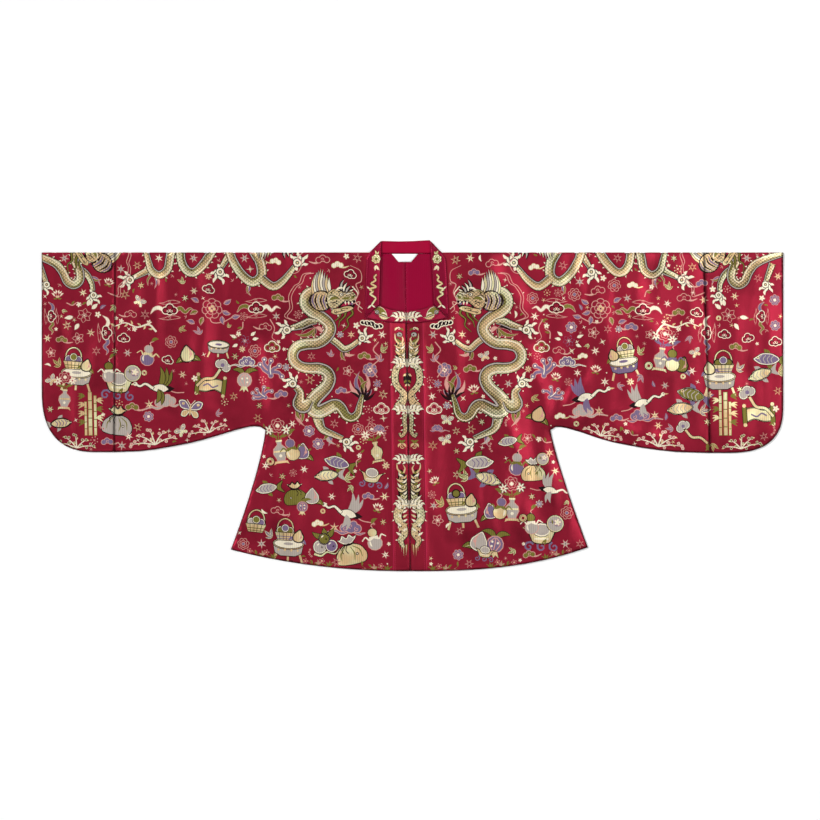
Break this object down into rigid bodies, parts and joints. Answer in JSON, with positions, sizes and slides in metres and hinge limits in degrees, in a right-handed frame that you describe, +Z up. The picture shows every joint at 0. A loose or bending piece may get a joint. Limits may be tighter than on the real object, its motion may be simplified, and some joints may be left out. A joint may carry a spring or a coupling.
{
  "type": "hanfu jacket",
  "caption": "Hip-length square-collar hanfu jacket with a centre-front opening and wide sleeves with rounded lower corners, laid out flat, front up.",
  "frame": {"origin": "centre of the jacket's outer box in X and Y, on the surface it lies on", "axes": "+X towards the wearer's left cuff, +Y from the hem to the collar, +Z up through the front from the surface it lies on"},
  "size_m": [1.6308, 0.728, 0.0099],
  "materials": {
    "brocade": "crimson satin brocade with woven gold, silver, lavender and olive motifs",
    "collar": "crimson satin brocade, interfaced and folded double",
    "lining": "plain dark red lining cloth",
    "label": "white woven label, left blank"
  },
  "bodies": {
    "root": {"body_right": "brocade", "body_left": "brocade", "sleeve_right": "brocade", "sleeve_left": "brocade", "collar_back": "collar", "collar_side_right": "collar", "collar_side_left": "collar", "collar_front_right": "collar", "collar_front_left": "collar", "lining_right": "lining", "lining_left": "lining", "label": "label"}
  },
  "joints": []
}
